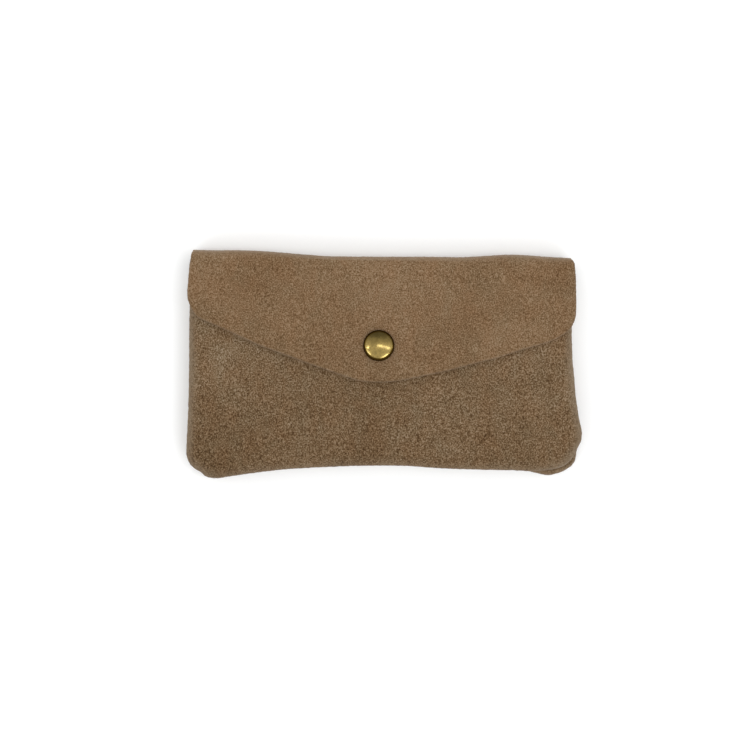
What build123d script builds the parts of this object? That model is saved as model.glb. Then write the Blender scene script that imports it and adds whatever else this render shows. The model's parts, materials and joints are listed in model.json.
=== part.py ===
"""Suede envelope wallet with a pointed flap, a press stud and a zipped coin pocket.

Millimetres. The wallet lies on its back: X runs across it, +Y towards the top edge that the flap
folds over, +Z out of the front. The origin is the middle of the bounding box's bottom face.
"""

from build123d import *
import math
import os

os.makedirs("parts", exist_ok=True)

# Driving dimensions: leather
HIDE = 1.2  # outer suede
DIVIDER = 0.7  # the two inner walls
POUCH_GAP = 5.0  # room inside the front and the rear pouch
COIN_GAP = 5.2  # room inside the coin pocket
FLAP_GAP = 0.5  # air between the front and the flap

# Driving dimensions: outline of the pouches
FOOT_HALF_WIDTH = 96.2
SIDE_SLOPE = 0.038  # how much wider a side gets for each millimetre down
CORNER_Y = -56.3  # where a side and the bottom edge would meet, before rounding
BOTTOM_MIDDLE_Y = -49.4
CORNER_RADIUS = 12.0
MOUTH_Y = 45.0
TOP_Y = 52.6  # outer face of the fold, in the flap's frame
BACK_ROLL = 3.6  # rounding of the rear pouch's turned edge
FRONT_ROLL = 4.8  # rounding of the front pouch's turned edge
COIN_INSET = 4.6  # how far the coin pocket stays inside the outline
COIN_ROLL = 2.2

# Driving dimensions: folds and flap
FLAP_TURN = -1.25  # degrees: the flap is folded over a little out of square
FOLD_RADIUS = 3.6  # middle of the hide, in the folds at the top edge
SPINE_HALF_WIDTH = 92.0
FLAP_MIDDLE_X = -1.2
FLAP_TOP_HALF_WIDTH = 92.4
FLAP_HALF_WIDTH = 94.6
SHOULDER_Y = 18.6  # where a side of the flap and its lower edge would meet
SHOULDER_RADIUS = 9.0
TIP_Y = -14.2
TIP_RADIUS = 65.0

# Driving dimensions: press stud
SNAP_X = -2.3
SNAP_Y = 8.4
CAP_RADIUS = 7.5
CAP_HEIGHT = 2.9
DIMPLE_DEPTH = 2.5
DIMPLE_RADIUS = 8.5
DIMPLE_SLOPE = 3.5  # how much wider the dimple is at its brim

# Driving dimensions: zip
DIVIDER_TOP_Y = 30.2
CHAIN_Y = 32.5
CHAIN_HALF_WIDTH = 2.1
TOOTH_HALF_HEIGHT = 1.1
TOOTH_LENGTH = 1.05
TOOTH_PITCH = 2.5
TOOTH_REACH = 0.45  # how far a tooth crosses the middle of the chain
TAPE = 0.5
TAPE_FOOT_Y = 23.0
TAPE_HALF_LENGTH = 80.0
TAPE_EDGE = 1.0  # from the middle of the chain to the edge of a tape
CHAIN_START_X = -73.6
SLIDER_X = 72.0
SLIDER_LENGTH = 8.5
SLIDER_WALL = 0.8
PULL_LENGTH = 13.5

# Levels, from the back to the front
REAR_SEAM_Z = HIDE + POUCH_GAP
REAR_DIVIDER_TOP_Z = REAR_SEAM_Z + DIVIDER
FLANGE_TOP_Z = REAR_DIVIDER_TOP_Z + DIVIDER
COIN_CEILING_Z = REAR_DIVIDER_TOP_Z + COIN_GAP
FRONT_DIVIDER_TOP_Z = COIN_CEILING_Z + DIVIDER
FRONT_CEILING_Z = FRONT_DIVIDER_TOP_Z + POUCH_GAP
FRONT_TOP_Z = FRONT_CEILING_Z + HIDE
FLAP_Z = FRONT_TOP_Z + FLAP_GAP
FLAP_TOP_Z = FLAP_Z + HIDE
CHAIN_Z = (REAR_DIVIDER_TOP_Z + COIN_CEILING_Z) / 2

# The flap's own frame, in which its fold lines run along X
FLAP_FRAME = Plane.XY.rotated((0, 0, FLAP_TURN))

# Fold axes. A hide that unrolls from a quarter turn keeps its length when it turns about a point
# pi/4 of the radius out from the middle of the bend, along both arms.
FOLD_REACH = FOLD_RADIUS * math.pi / 4
FOLD_AXIS_Y = TOP_Y - HIDE / 2 - FOLD_RADIUS + FOLD_REACH
LOWER_FOLD_Z = HIDE / 2 + FOLD_RADIUS - FOLD_REACH
UPPER_FOLD_Z = FLAP_TOP_Z - LOWER_FOLD_Z


def finish(piece, label):
    """Labels a finished piece and writes it to its own STEP file."""
    piece.part.label = label
    export_step(piece.part, f"parts/{label}.step")


def half_width(y):
    """Half the width of the pouches at a height y."""
    return FOOT_HALF_WIDTH - SIDE_SLOPE * (y - CORNER_Y)


# ---------------------------------------------------------------- pouches


def pouch_outline(inset, mouth):
    """Sides that flare, a bottom edge that is hollow in the middle, and round corners."""
    corner_x = half_width(CORNER_Y) - inset
    mouth_x = half_width(mouth) - inset
    with BuildSketch() as outline:
        with BuildLine():
            Line((-mouth_x, mouth), (-corner_x, CORNER_Y + inset))
            ThreePointArc(
                (-corner_x, CORNER_Y + inset), (0, BOTTOM_MIDDLE_Y + inset), (corner_x, CORNER_Y + inset)
            )
            Polyline((corner_x, CORNER_Y + inset), (mouth_x, mouth), (-mouth_x, mouth))
        make_face()
        fillet(outline.vertices().group_by(Axis.Y)[0], CORNER_RADIUS - inset)
    return outline.sketch


def pouch_block(inset, mouth, low, high, roll, rolled_face):
    """The outline as a block, with the edge of its bottom (0) or top (-1) face rounded."""
    with BuildPart() as block:
        with BuildSketch(Plane.XY.offset(low)):
            add(pouch_outline(inset, mouth))
        extrude(amount=high - low)
        rim = block.faces().sort_by(Axis.Z)[rolled_face].edges()
        fillet(rim.sort_by(Axis.Y)[:-1], roll)
    return block.part


def seam_places(inset, height, pitch):
    """Places a pitch apart along the sides and bottom of the outline, turned along it."""
    path = pouch_outline(inset, DIVIDER_TOP_Y).wires()[0]
    count = int(path.length / pitch)
    places = []
    for step in range(count):
        point = path.position_at(step / count)
        along = path.tangent_at(step / count)
        if point.Y < DIVIDER_TOP_Y - pitch:
            turn = math.degrees(math.atan2(along.Y, along.X))
            places.append(Location((point.X, point.Y, height), (0, 0, turn)))
    return places


def snap_hole(radius, low, high):
    """Cuts a round hole for the press stud through the piece being built."""
    with Locations((SNAP_X, SNAP_Y, (low + high) / 2)):
        Cylinder(radius, high - low + 0.2, mode=Mode.SUBTRACT)


# Back panel: the tray of the rear pouch and, above it, the hide up to the fold
with BuildPart() as back_panel:
    add(pouch_block(0, MOUTH_Y, 0, REAR_SEAM_Z, BACK_ROLL, 0))
    inside = pouch_block(HIDE, MOUTH_Y + HIDE, HIDE, REAR_SEAM_Z + HIDE, BACK_ROLL - HIDE, 0)
    add(inside, mode=Mode.SUBTRACT)
    with BuildSketch():
        with BuildLine():
            strip_half_width = SPINE_HALF_WIDTH - BACK_ROLL
            Polyline(
                (-strip_half_width, MOUTH_Y),
                (strip_half_width, MOUTH_Y),
                FLAP_FRAME.from_local_coords((strip_half_width, FOLD_AXIS_Y)),
                FLAP_FRAME.from_local_coords((-strip_half_width, FOLD_AXIS_Y)),
                close=True,
            )
        make_face()
    extrude(amount=HIDE)
finish(back_panel, "back_panel")

# Rear divider: flat wall between the rear pouch and the coin pocket
with BuildPart() as rear_divider:
    with BuildSketch(Plane.XY.offset(REAR_SEAM_Z)):
        add(pouch_outline(0, DIVIDER_TOP_Y))
    extrude(amount=DIVIDER)
finish(rear_divider, "rear_divider")

# Front divider: a flange at the seam, raised inside it over the coin pocket
with BuildPart() as front_divider:
    with BuildSketch(Plane.XY.offset(REAR_DIVIDER_TOP_Z)):
        add(pouch_outline(0, DIVIDER_TOP_Y))
    extrude(amount=DIVIDER)
    add(pouch_block(COIN_INSET, DIVIDER_TOP_Y, REAR_DIVIDER_TOP_Z, FRONT_DIVIDER_TOP_Z, COIN_ROLL, -1))
    inside = pouch_block(
        COIN_INSET + DIVIDER,
        DIVIDER_TOP_Y + DIVIDER,
        REAR_DIVIDER_TOP_Z - DIVIDER,
        COIN_CEILING_Z,
        COIN_ROLL - DIVIDER,
        -1,
    )
    add(inside, mode=Mode.SUBTRACT)
finish(front_divider, "front_divider")

# Front panel: the tray of the front pouch, dimpled where the press stud stands
with BuildPart() as front_panel:
    add(pouch_block(0, MOUTH_Y, FLANGE_TOP_Z, FRONT_TOP_Z, FRONT_ROLL, -1))
    inside = pouch_block(
        HIDE, MOUTH_Y + HIDE, FLANGE_TOP_Z - HIDE, FRONT_CEILING_Z, FRONT_ROLL - HIDE, -1
    )
    add(inside, mode=Mode.SUBTRACT)
    for shrink, top, mode in ((-HIDE, FRONT_CEILING_Z, Mode.ADD), (0, FRONT_TOP_Z, Mode.SUBTRACT)):
        with Locations((SNAP_X, SNAP_Y, top - DIMPLE_DEPTH / 2)):
            Cone(
                DIMPLE_RADIUS - shrink,
                DIMPLE_RADIUS + DIMPLE_SLOPE - shrink,
                DIMPLE_DEPTH,
                mode=mode,
            )
    snap_hole(1.1, FRONT_CEILING_Z - DIMPLE_DEPTH, FRONT_TOP_Z)
finish(front_panel, "front_panel")

# Closing seams of the two pouches, on the allowance that is turned inside
STITCH_HEIGHT = 0.4
SEAM_INSET = 2.8
for label, level in (
    ("seam_front", FLANGE_TOP_Z + STITCH_HEIGHT / 2),
    ("seam_rear", REAR_SEAM_Z - STITCH_HEIGHT / 2),
):
    with BuildPart() as seam:
        with Locations(*seam_places(SEAM_INSET, level, 4.0)):
            Box(3.0, 0.6, STITCH_HEIGHT)
    finish(seam, label)

# ---------------------------------------------------------------- flap

# Spine: the hide over the top edge, between the two fold axes
with BuildPart() as flap_spine:
    with BuildSketch(FLAP_FRAME.offset(LOWER_FOLD_Z)):
        with Locations((0, TOP_Y - HIDE / 2)):
            Rectangle(2 * SPINE_HALF_WIDTH, HIDE)
    extrude(amount=UPPER_FOLD_Z - LOWER_FOLD_Z)
finish(flap_spine, "flap_spine")

# Flap: round shoulders and a blunt point
with BuildPart() as flap_panel:
    with BuildSketch(FLAP_FRAME.offset(FLAP_Z)) as flap_outline:
        with BuildLine():
            Polyline(
                (FLAP_MIDDLE_X - FLAP_TOP_HALF_WIDTH, FOLD_AXIS_Y),
                (FLAP_MIDDLE_X - FLAP_HALF_WIDTH, SHOULDER_Y),
                (FLAP_MIDDLE_X, TIP_Y),
                (FLAP_MIDDLE_X + FLAP_HALF_WIDTH, SHOULDER_Y),
                (FLAP_MIDDLE_X + FLAP_TOP_HALF_WIDTH, FOLD_AXIS_Y),
                close=True,
            )
        make_face()
        fillet(flap_outline.vertices().group_by(Axis.Y)[0], TIP_RADIUS)
        fillet(flap_outline.vertices().group_by(Axis.Y)[-2], SHOULDER_RADIUS)
    extrude(amount=HIDE)
    snap_hole(1.65, FLAP_Z, FLAP_TOP_Z)
finish(flap_panel, "flap_panel")

# ---------------------------------------------------------------- press stud

METAL = 0.4  # sheet that the cap, socket and stud are pressed from
STUD_FOOT_Z = FRONT_TOP_Z - DIMPLE_DEPTH
SNAP_AXIS = Plane(origin=(SNAP_X, SNAP_Y, 0), x_dir=(1, 0, 0), z_dir=(0, -1, 0))


def turned(points):
    """Turns an outline of (radius, height) corners into a solid about the press stud's axis."""
    with BuildPart() as piece:
        with BuildSketch(SNAP_AXIS):
            with BuildLine():
                Polyline(*points, close=True)
            make_face()
        revolve(axis=Axis((SNAP_X, SNAP_Y, 0), (0, 0, 1)))
    return piece


# Cap: a low dome whose edge is turned in under the flange of its post
BRIM_Z = FLAP_TOP_Z + 1.0
CROWN_Z = FLAP_TOP_Z + CAP_HEIGHT
with BuildPart() as snap_cap:
    with BuildSketch(SNAP_AXIS):
        with BuildLine():
            TangentArc((0, CROWN_Z), (CAP_RADIUS - 0.4, BRIM_Z), tangent=(1, 0))
            ThreePointArc(
                (CAP_RADIUS - 0.4, BRIM_Z), (CAP_RADIUS, FLAP_TOP_Z + 0.55), (CAP_RADIUS - 0.4, FLAP_TOP_Z)
            )
            Polyline(
                (CAP_RADIUS - 0.4, FLAP_TOP_Z),
                (CAP_RADIUS - 1.5, FLAP_TOP_Z),
                (CAP_RADIUS - 1.5, FLAP_TOP_Z + METAL),
                (CAP_RADIUS - 0.8, FLAP_TOP_Z + METAL),
                (CAP_RADIUS - 0.8, BRIM_Z),
            )
            TangentArc((0, CROWN_Z - METAL), (CAP_RADIUS - 0.8, BRIM_Z), tangent=(1, 0))
            Line((0, CROWN_Z - METAL), (0, CROWN_Z))
        make_face()
    revolve(axis=Axis((SNAP_X, SNAP_Y, 0), (0, 0, 1)))
finish(snap_cap, "snap_cap")

# Post of the cap: a flange held inside the dome, and a tube through the flap, rolled in the socket
SOCKET_FLOOR_Z = FLAP_Z - METAL
snap_cap_post = turned(
    [
        (1.2, FLAP_TOP_Z + 2 * METAL),
        (CAP_RADIUS - 0.9, FLAP_TOP_Z + 2 * METAL),
        (CAP_RADIUS - 0.9, FLAP_TOP_Z + METAL),
        (1.6, FLAP_TOP_Z + METAL),
        (1.6, SOCKET_FLOOR_Z),
        (2.3, SOCKET_FLOOR_Z),
        (2.3, SOCKET_FLOOR_Z - 0.35),
        (1.2, SOCKET_FLOOR_Z - 0.35),
    ]
)
finish(snap_cap_post, "snap_cap_post")

# Socket: a ring under the flap, with a bore for the stud and a groove for the spring
SOCKET_FOOT_Z = STUD_FOOT_Z + 0.5
GROOVE_LOW_Z = STUD_FOOT_Z + 0.85
GROOVE_HIGH_Z = STUD_FOOT_Z + 1.35
BORE_RADIUS = 2.45
GROOVE_RADIUS = 4.2
snap_socket = turned(
    [
        (1.65, FLAP_Z),
        (6.2, FLAP_Z),
        (6.2, FLAP_Z - 0.9),
        (5.2, SOCKET_FOOT_Z + 0.4),
        (4.8, SOCKET_FOOT_Z),
        (BORE_RADIUS, SOCKET_FOOT_Z),
        (BORE_RADIUS, GROOVE_LOW_Z),
        (GROOVE_RADIUS, GROOVE_LOW_Z),
        (GROOVE_RADIUS, GROOVE_HIGH_Z),
        (BORE_RADIUS, GROOVE_HIGH_Z),
        (BORE_RADIUS, SOCKET_FLOOR_Z),
        (1.65, SOCKET_FLOOR_Z),
    ]
)
finish(snap_socket, "snap_socket")

# Spring: one bent wire whose two straight arms close behind the stud's head
WIRE_RADIUS = 0.2
ARM_X = 1.75
WIRE_Z = (GROOVE_LOW_Z + GROOVE_HIGH_Z) / 2
with BuildPart() as snap_spring:
    with BuildLine(Plane.XY.offset(WIRE_Z)) as wire:
        Line((SNAP_X - ARM_X, SNAP_Y - 3.4), (SNAP_X - ARM_X, SNAP_Y + 2.0))
        ThreePointArc(
            (SNAP_X - ARM_X, SNAP_Y + 2.0), (SNAP_X, SNAP_Y + 2.0 + ARM_X), (SNAP_X + ARM_X, SNAP_Y + 2.0)
        )
        Line((SNAP_X + ARM_X, SNAP_Y + 2.0), (SNAP_X + ARM_X, SNAP_Y - 3.4))
    with BuildSketch(Plane(origin=wire.line @ 0, z_dir=wire.line % 0)):
        Circle(WIRE_RADIUS)
    sweep()
finish(snap_spring, "snap_spring")

# Stud: a flange on the front panel, a neck and a round head
HEAD_TOP_Z = STUD_FOOT_Z + 2.0
snap_stud = turned(
    [
        (1.05, STUD_FOOT_Z),
        (5.0, STUD_FOOT_Z),
        (5.0, STUD_FOOT_Z + METAL),
        (1.5, STUD_FOOT_Z + METAL),
        (1.5, GROOVE_HIGH_Z),
        (2.0, GROOVE_HIGH_Z + 0.2),
        (2.0, HEAD_TOP_Z - 0.25),
        (1.7, HEAD_TOP_Z),
        (1.05, HEAD_TOP_Z),
    ]
)
finish(snap_stud, "snap_stud")

# Backing washer and the eyelet that holds the stud, inside the front pouch
BACKING_RADIUS = 7.0
BACKING_TOP_Z = STUD_FOOT_Z - HIDE
BACKING_FOOT_Z = BACKING_TOP_Z - 1.0
with BuildPart() as snap_backing:
    with BuildSketch(Plane.XY.offset(BACKING_FOOT_Z)):
        with Locations((SNAP_X, SNAP_Y)):
            Circle(BACKING_RADIUS)
            Circle(1.1, mode=Mode.SUBTRACT)
    extrude(amount=BACKING_TOP_Z - BACKING_FOOT_Z)
finish(snap_backing, "snap_backing")

snap_stud_post = turned(
    [
        (0.7, HEAD_TOP_Z - 0.3),
        (1.0, HEAD_TOP_Z - 0.3),
        (1.0, BACKING_FOOT_Z),
        (4.5, BACKING_FOOT_Z),
        (4.5, BACKING_FOOT_Z - METAL),
        (0.7, BACKING_FOOT_Z - METAL),
    ]
)
finish(snap_stud_post, "snap_stud_post")

# ---------------------------------------------------------------- zip of the coin pocket

CHAIN_PLANE = Plane.YZ.offset(-TAPE_HALF_LENGTH)

# Tapes and their teeth: side is -1 for the rear divider and +1 for the front one
TOOTH_WIDTH = CHAIN_HALF_WIDTH + TOOTH_REACH
TOOTH_COUNT = int((SLIDER_X - CHAIN_START_X) / TOOTH_PITCH)
ZIP_STITCH = 0.3
for side, label, face_z in (
    (-1, "rear", REAR_SEAM_Z),
    (1, "front", FRONT_DIVIDER_TOP_Z),
):
    outer_z = face_z + side * TAPE
    with BuildPart() as zip_tape:
        with BuildSketch(CHAIN_PLANE) as tape_section:
            with BuildLine():
                Polyline(
                    (TAPE_FOOT_Y, face_z),
                    (CHAIN_Y - TAPE / 2, face_z),
                    (CHAIN_Y - TAPE / 2, CHAIN_Z + side * TAPE_EDGE),
                    (CHAIN_Y + TAPE / 2, CHAIN_Z + side * TAPE_EDGE),
                    (CHAIN_Y + TAPE / 2, outer_z),
                    (TAPE_FOOT_Y, outer_z),
                    close=True,
                )
            make_face()
        extrude(amount=2 * TAPE_HALF_LENGTH)
    finish(zip_tape, f"zip_tape_{label}")

    first_x = CHAIN_START_X + (TOOTH_PITCH / 2 if side > 0 else 0)
    middle_z = CHAIN_Z + side * (TOOTH_WIDTH / 2 - TOOTH_REACH)
    with BuildPart() as zip_teeth:
        with Locations(*[(first_x + TOOTH_PITCH * n, CHAIN_Y, middle_z) for n in range(TOOTH_COUNT)]):
            Box(TOOTH_LENGTH, 2 * TOOTH_HALF_HEIGHT, TOOTH_WIDTH)
        with Locations((0, CHAIN_Y, CHAIN_Z + side * (TAPE_EDGE + CHAIN_HALF_WIDTH / 2))):
            Box(2 * TAPE_HALF_LENGTH, TAPE, CHAIN_HALF_WIDTH, mode=Mode.SUBTRACT)
    finish(zip_teeth, f"zip_teeth_{label}")

    with BuildPart() as zip_stitch:
        with Locations((0, TAPE_FOOT_Y + 3.0, outer_z + side * ZIP_STITCH / 2)):
            with GridLocations(3.2, 1, int(2 * TAPE_HALF_LENGTH / 3.2), 1):
                Box(2.3, 0.5, ZIP_STITCH)
    finish(zip_stitch, f"zip_stitch_{label}")

# Stops: taller than the slider's channel, so that it comes to rest against them
STOP_HALF_HEIGHT = 1.6
STOP_LENGTH = 2.8
STOP_CLEARANCE = 0.1
with BuildPart() as zip_top_stops:
    stop_x = SLIDER_X + SLIDER_LENGTH / 2 + STOP_CLEARANCE + STOP_LENGTH / 2
    with Locations(*[(stop_x, CHAIN_Y, CHAIN_Z + side * 1.35) for side in (-1, 1)]):
        Box(STOP_LENGTH, 2 * STOP_HALF_HEIGHT, 1.5)
    for side in (-1, 1):
        with Locations((stop_x, CHAIN_Y, CHAIN_Z + side * (TAPE_EDGE + 1.0))):
            Box(STOP_LENGTH, TAPE, 2.0, mode=Mode.SUBTRACT)
finish(zip_top_stops, "zip_top_stops")

with BuildPart() as zip_bottom_stop:
    bottom_x = CHAIN_START_X - 1.0 - STOP_LENGTH / 2
    with Locations((bottom_x, CHAIN_Y, CHAIN_Z)):
        Box(STOP_LENGTH, 2 * STOP_HALF_HEIGHT, 2 * CHAIN_HALF_WIDTH)
    for side in (-1, 1):
        with Locations((bottom_x, CHAIN_Y, CHAIN_Z + side * (TAPE_EDGE + 1.0))):
            Box(STOP_LENGTH, TAPE, 2.0, mode=Mode.SUBTRACT)
finish(zip_bottom_stop, "zip_bottom_stop")

# Slider: two plates with turned-in sides round the chain, joined by a wedge at the leading end,
# and a bridge on top for the pull
CHANNEL_HALF_HEIGHT = TOOTH_HALF_HEIGHT + 0.2
CHANNEL_HALF_WIDTH = CHAIN_HALF_WIDTH + 0.25
SLIDER_HALF_WIDTH = CHANNEL_HALF_WIDTH + 0.75
SLIDER_TOP_Y = CHAIN_Y + CHANNEL_HALF_HEIGHT + SLIDER_WALL
EYE_HALF_LENGTH = 2.0
EYE_HEIGHT = 1.7
BRIDGE = 0.8
PIVOT_Y = SLIDER_TOP_Y + EYE_HEIGHT / 2
with BuildPart() as zip_slider:
    with Locations((SLIDER_X, CHAIN_Y, CHAIN_Z)):
        Box(SLIDER_LENGTH, 2 * (CHANNEL_HALF_HEIGHT + SLIDER_WALL), 2 * SLIDER_HALF_WIDTH)
        fillet(zip_slider.edges().filter_by(Axis.Y).group_by(Axis.X)[-1], 1.8)
        fillet(zip_slider.edges().filter_by(Axis.Y).group_by(Axis.X)[0], 0.8)
        Box(SLIDER_LENGTH, 2 * CHANNEL_HALF_HEIGHT, 2 * CHANNEL_HALF_WIDTH, mode=Mode.SUBTRACT)
        Box(SLIDER_LENGTH, TAPE + 0.4, 2 * SLIDER_HALF_WIDTH, mode=Mode.SUBTRACT)
    with BuildSketch(Plane.XZ.offset(-(CHAIN_Y - CHANNEL_HALF_HEIGHT))):
        with BuildLine():
            wedge_x = SLIDER_X + 1.3
            Polyline(
                (wedge_x, CHAIN_Z),
                (wedge_x + 1.6, CHAIN_Z - 0.7),
                (wedge_x + 2.8, CHAIN_Z),
                (wedge_x + 1.6, CHAIN_Z + 0.7),
                close=True,
            )
        make_face()
    extrude(amount=-2 * CHANNEL_HALF_HEIGHT)
    bridge_half = EYE_HALF_LENGTH + BRIDGE
    with Locations((SLIDER_X, SLIDER_TOP_Y + (EYE_HEIGHT + BRIDGE) / 2, CHAIN_Z)):
        Box(2 * bridge_half, EYE_HEIGHT + BRIDGE, 1.4)
    fillet(zip_slider.edges().filter_by(Axis.Z).group_by(Axis.Y)[-1], 0.7)
    with Locations((SLIDER_X, SLIDER_TOP_Y + EYE_HEIGHT / 2, CHAIN_Z)):
        Box(2 * EYE_HALF_LENGTH, EYE_HEIGHT, 1.4, mode=Mode.SUBTRACT)
finish(zip_slider, "zip_slider")

# Pull: a flat tab with a window that the bridge stands in, closed by a round bar through its eye
PULL_HALF_WIDTH = 2.2
PULL_THICKNESS = 0.8
WINDOW_HALF_WIDTH = 1.0
WINDOW_LENGTH = 5.5
BAR_RADIUS = 0.5
with BuildPart() as zip_pull:
    with BuildSketch(Plane.XZ.offset(-(PIVOT_Y - PULL_THICKNESS / 2))) as tab:
        with Locations((SLIDER_X - PULL_LENGTH / 2, CHAIN_Z)):
            Rectangle(PULL_LENGTH, 2 * PULL_HALF_WIDTH)
        fillet(tab.vertices().group_by(Axis.X)[0], 2.0)
        with Locations((SLIDER_X - WINDOW_LENGTH / 2, CHAIN_Z)):
            Rectangle(WINDOW_LENGTH, 2 * WINDOW_HALF_WIDTH, mode=Mode.SUBTRACT)
    extrude(amount=-PULL_THICKNESS)
    with Locations((SLIDER_X, PIVOT_Y, CHAIN_Z)):
        Cylinder(BAR_RADIUS, 2 * PULL_HALF_WIDTH)
finish(zip_pull, "zip_pull")

print("fold axes through", FLAP_FRAME.from_local_coords((0, FOLD_AXIS_Y)), "along", FLAP_FRAME.x_dir)
print("at heights", round(LOWER_FOLD_Z, 4), round(UPPER_FOLD_Z, 4))
print("pull pivot:", SLIDER_X, round(PIVOT_Y, 3), round(CHAIN_Z, 3))
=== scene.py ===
"""Looks of a suede envelope wallet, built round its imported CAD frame.

Shapes are worked out in millimetres in the row frame and turned into metres when a mesh is made.
"""

import json
import math

import bmesh
import bpy
import numpy as np
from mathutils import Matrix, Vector, noise


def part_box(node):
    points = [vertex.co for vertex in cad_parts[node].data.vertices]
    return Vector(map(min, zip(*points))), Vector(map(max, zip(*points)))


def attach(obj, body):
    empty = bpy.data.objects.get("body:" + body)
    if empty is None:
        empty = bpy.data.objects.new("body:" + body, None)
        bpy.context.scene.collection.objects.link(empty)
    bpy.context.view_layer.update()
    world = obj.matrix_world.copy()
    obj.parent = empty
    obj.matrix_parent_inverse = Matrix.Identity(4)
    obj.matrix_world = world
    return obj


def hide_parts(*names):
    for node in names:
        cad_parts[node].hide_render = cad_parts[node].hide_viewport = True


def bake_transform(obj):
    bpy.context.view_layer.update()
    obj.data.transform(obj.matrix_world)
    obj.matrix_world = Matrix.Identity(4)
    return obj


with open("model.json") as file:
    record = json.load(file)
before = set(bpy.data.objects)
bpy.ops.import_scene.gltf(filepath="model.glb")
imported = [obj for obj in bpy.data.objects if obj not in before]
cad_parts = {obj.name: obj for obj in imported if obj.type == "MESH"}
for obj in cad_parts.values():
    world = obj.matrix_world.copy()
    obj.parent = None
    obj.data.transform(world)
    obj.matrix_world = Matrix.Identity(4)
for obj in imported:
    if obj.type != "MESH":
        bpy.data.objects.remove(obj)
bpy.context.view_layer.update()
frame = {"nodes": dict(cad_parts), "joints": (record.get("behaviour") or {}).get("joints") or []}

MM = 0.001


# ---------------------------------------------------------------- sizes read from the frame


def box_mm(node):
    """Lowest and highest corner of a CAD node, in millimetres."""
    low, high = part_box(node)
    return np.array(low) / MM, np.array(high) / MM


def joint_named(name):
    return next(j for j in frame["joints"] if j["name"] == name)


flap_low, flap_high = box_mm("flap_panel")
front_low, front_high = box_mm("front_panel")
rear_divider_low, rear_divider_high = box_mm("rear_divider")
front_divider_low, front_divider_high = box_mm("front_divider")
cap_low, cap_high = box_mm("snap_cap")
stud_low = box_mm("snap_stud")[0]

HIDE = flap_high[2] - flap_low[2]
DIVIDER = rear_divider_high[2] - rear_divider_low[2]
SNAP = (cap_low[:2] + cap_high[:2]) / 2
CAP_RADIUS = (cap_high[0] - cap_low[0]) / 2
FRONT_TOP = front_high[2]
MOUTH_Y = front_high[1]
DIVIDER_TOP_Y = rear_divider_high[1]

lower_fold = joint_named("flap_fold_lower")
upper_fold = joint_named("flap_fold_upper")
FOLD_POINT = np.array(lower_fold["pos_m"]) / MM
ALONG_FOLD = -np.array(lower_fold["axis"])
ALONG_FOLD /= np.linalg.norm(ALONG_FOLD)
UP_FLAP = np.array([-ALONG_FOLD[1], ALONG_FOLD[0], 0.0])

# The fold's bend: its middle layer has this radius, and the hinge lies on the bend's diagonal
LOWER_AXIS_Z = FOLD_POINT[2]
UPPER_AXIS_Z = upper_fold["pos_m"][2] / MM
FOLD_RADIUS = (LOWER_AXIS_Z - HIDE / 2) / (1 - math.pi / 4)
AXIS_Y = float(FOLD_POINT @ UP_FLAP)
BEND_Y = AXIS_Y - FOLD_RADIUS * math.pi / 4
LOWER_BEND_Z = HIDE / 2 + FOLD_RADIUS
UPPER_BEND_Z = flap_high[2] - HIDE / 2 - FOLD_RADIUS
SPINE_MIDDLE_Z = (LOWER_AXIS_Z + UPPER_AXIS_Z) / 2
OUTER_RADIUS = FOLD_RADIUS + HIDE / 2


def from_flap(x, y):
    """Row-frame x and y of a point given in the flap's own frame, whose X runs along the fold."""
    return x * ALONG_FOLD[0] + y * UP_FLAP[0], x * ALONG_FOLD[1] + y * UP_FLAP[1]


def to_flap(points):
    """x and y in the flap's own frame of points given in the row frame."""
    return np.column_stack([points[:, :2] @ ALONG_FOLD[:2], points[:, :2] @ UP_FLAP[:2]])


# ---------------------------------------------------------------- small mathematics


def smoothstep(t):
    t = np.clip(t, 0.0, 1.0)
    return t * t * (3 - 2 * t)


def catmull_rom(points, per_span=24):
    """A smooth curve through the points, as many short steps."""
    p = np.array(points, float)
    p = np.vstack([2 * p[0] - p[1], p, 2 * p[-1] - p[-2]])
    t = np.linspace(0, 1, per_span, endpoint=False)[:, None]
    spans = []
    for a, b, c, d in zip(p, p[1:], p[2:], p[3:]):
        square, cube = 2 * a - 5 * b + 4 * c - d, 3 * b - a - 3 * c + d
        spans.append(0.5 * (2 * b + (c - a) * t + square * t**2 + cube * t**3))
    return np.vstack([*spans, p[-2][None]])


def resample(line, count):
    """count + 1 points at even distances along a line of short steps."""
    steps = np.linalg.norm(np.diff(line, axis=0), axis=1)
    run = np.concatenate([[0], np.cumsum(steps)])
    wanted = np.linspace(0, run[-1], count + 1)
    return np.column_stack([np.interp(wanted, run, line[:, k]) for k in range(line.shape[1])])


def waves(points, size, seed):
    """Soft random waves of about a given size, from -1 to 1, at points in a plane or in space."""
    shift = Vector((seed * 13.7, seed * 7.1, seed * 3.3))
    places = [Vector((*p, 0.0)[:3]) + shift for p in points / size]
    return np.array([noise.fractal(place, 0.7, 2.0, 2) for place in places])


def smooth_loop(points, sigma):
    """A closed loop of points, each averaged with its neighbours."""
    if sigma <= 0:
        return points.copy()
    reach = int(3 * sigma) + 1
    weights = np.exp(-0.5 * (np.arange(-reach, reach + 1) / sigma) ** 2)
    weights /= weights.sum()
    padded = np.vstack([points[-reach:], points, points[:reach]])
    return np.column_stack([np.convolve(padded[:, k], weights, "valid") for k in range(2)])


# ---------------------------------------------------------------- meshes


def make_object(name, points_mm, faces):
    mesh = bpy.data.meshes.new(name)
    mesh.from_pydata((np.asarray(points_mm) * MM).tolist(), [], faces)
    mesh.validate()
    obj = bpy.data.objects.new(name, mesh)
    bpy.context.scene.collection.objects.link(obj)
    return obj


def ring_faces(count, rings, first=0):
    """Faces between closed rings of count points each, one ring after the other."""
    faces = []
    for k in range(rings - 1):
        for n in range(count):
            a, b = first + k * count + n, first + k * count + (n + 1) % count
            faces.append((a, b, b + count, a + count))
    return faces


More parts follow.
